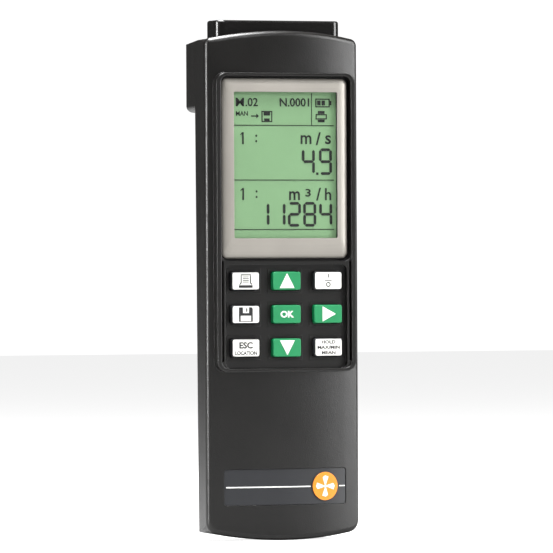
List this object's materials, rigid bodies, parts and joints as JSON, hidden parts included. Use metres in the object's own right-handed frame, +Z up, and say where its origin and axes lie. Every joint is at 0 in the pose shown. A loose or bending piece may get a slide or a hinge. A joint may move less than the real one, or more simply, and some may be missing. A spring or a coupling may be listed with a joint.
{
  "type": "handheld climate meter",
  "caption": "Handheld measuring handset with a large display, rubber-style keys and sockets for an air-velocity vane probe on its head.",
  "frame": {"origin": "bottom centre of the standing handset's box", "axes": "+Z up along the handset, -Y the way the display faces, +X the user's right"},
  "size_m": [0.068, 0.047, 0.215],
  "materials": {
    "case": "moulded ABS, fine grain, semi-matt",
    "head": "polished",
    "bezel": "satin silver lacquer",
    "window": "clear polished",
    "lcd": "grey-green liquid crystal glass",
    "guide": "clear acrylic",
    "white_plastic": "moulded",
    "black_plastic": "moulded",
    "foam": "soft",
    "mat": "silicone",
    "key_white": "off-white printed top on a dark body",
    "key_green": "green",
    "gold": "plated",
    "steel": "zinc plated",
    "socket_metal": "nickel plated",
    "circuit_board": "solder resist",
    "chip": "moulded",
    "dark_window": "infrared filter plastic",
    "battery_jacket": "printed sleeve",
    "label": "printed film",
    "badge": "flat orange",
    "rating": "blank satin film"
  },
  "bodies": {
    "case": {"front_shell": "case", "rear_shell": "case", "rear_hump": "case", "connector_head": "head", "display_bezel": "bezel", "display_window": "window", "display_gasket": "foam", "lcd_panel": "lcd", "light_guide": "guide", "lcd_holder": "white_plastic", "zebra_strips": "foam", "keypad_mat": "mat", "contact_pads": "gold", "main_board": "circuit_board", "board_components": "chip", "board_screws": "steel", "case_screws": "steel", "probe_socket_left": "socket_metal", "probe_socket_right": "socket_metal", "socket_insulators": "black_plastic", "socket_contacts": "gold", "infrared_window": "dark_window", "infrared_emitter": "dark_window", "side_board": "circuit_board", "data_socket": "black_plastic", "data_contacts": "gold", "adapter_jack": "black_plastic", "battery": "battery_jacket", "battery_carrier": "black_plastic", "battery_contacts": "steel", "battery_pad": "foam", "name_plate": "label", "badge": "badge", "rating_plate": "rating"},
    "key_print": {"key_print": "key_white"},
    "key_up": {"key_up": "key_green"},
    "key_power": {"key_power": "key_white"},
    "key_store": {"key_store": "key_white"},
    "key_ok": {"key_ok": "key_green"},
    "key_right": {"key_right": "key_green"},
    "key_escape": {"key_escape": "key_white"},
    "key_down": {"key_down": "key_green"},
    "key_hold": {"key_hold": "key_white"},
    "battery_door": {"battery_door": "case"}
  },
  "joints": [
    {"name": "key_print_press", "type": "slide", "parent": "case", "child": "key_print", "axis": [0, 1, 0], "range_m": [0, 0.001], "stiffness_N_per_m": 400},
    {"name": "key_up_press", "type": "slide", "parent": "case", "child": "key_up", "axis": [0, 1, 0], "range_m": [0, 0.001], "stiffness_N_per_m": 400},
    {"name": "key_power_press", "type": "slide", "parent": "case", "child": "key_power", "axis": [0, 1, 0], "range_m": [0, 0.001], "stiffness_N_per_m": 400},
    {"name": "key_store_press", "type": "slide", "parent": "case", "child": "key_store", "axis": [0, 1, 0], "range_m": [0, 0.001], "stiffness_N_per_m": 400},
    {"name": "key_ok_press", "type": "slide", "parent": "case", "child": "key_ok", "axis": [0, 1, 0], "range_m": [0, 0.001], "stiffness_N_per_m": 400},
    {"name": "key_right_press", "type": "slide", "parent": "case", "child": "key_right", "axis": [0, 1, 0], "range_m": [0, 0.001], "stiffness_N_per_m": 400},
    {"name": "key_escape_press", "type": "slide", "parent": "case", "child": "key_escape", "axis": [0, 1, 0], "range_m": [0, 0.001], "stiffness_N_per_m": 400},
    {"name": "key_down_press", "type": "slide", "parent": "case", "child": "key_down", "axis": [0, 1, 0], "range_m": [0, 0.001], "stiffness_N_per_m": 400},
    {"name": "key_hold_press", "type": "slide", "parent": "case", "child": "key_hold", "axis": [0, 1, 0], "range_m": [0, 0.001], "stiffness_N_per_m": 400},
    {"name": "battery_door_slide", "type": "slide", "parent": "case", "child": "battery_door", "axis": [0, -0.0192, -0.9998], "range_m": [0, 0.07]}
  ]
}
